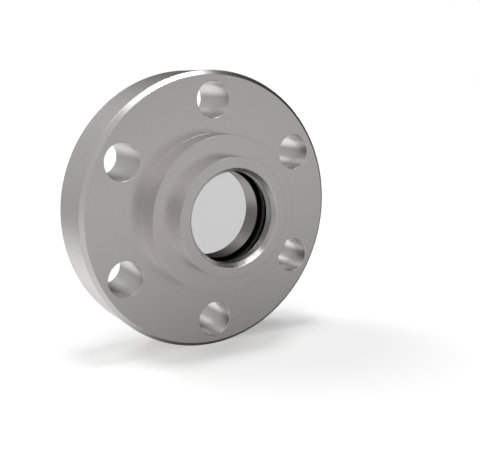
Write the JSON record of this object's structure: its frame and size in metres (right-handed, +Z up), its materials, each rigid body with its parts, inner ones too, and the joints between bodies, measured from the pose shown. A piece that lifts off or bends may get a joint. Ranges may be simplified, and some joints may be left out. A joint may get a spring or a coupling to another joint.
{
  "type": "vacuum viewport",
  "caption": "Small vacuum viewport: a flat round window in a stepped hub on a bolted flange, with a knife-edge gasket seal on the vacuum side.",
  "frame": {"origin": "centre of the bolt circle on the sealing face, which is the flat vacuum-side face of the rim", "axes": "+Y along the window's axis into the vacuum, -Y towards the viewer on the air side, +Z up with one bolt hole at the top"},
  "size_m": [0.0338, 0.0121, 0.0338],
  "materials": {
    "flange_steel": "fine satin, turned stainless steel",
    "retainer_steel": "fine satin, turned stainless steel",
    "window_glass": "polished flat faces, fine ground edge",
    "seal_black": "matt black"
  },
  "bodies": {
    "root": {"flange": "flange_steel", "window_retainer": "retainer_steel", "window_glass": "window_glass", "window_seal": "seal_black"}
  },
  "joints": []
}
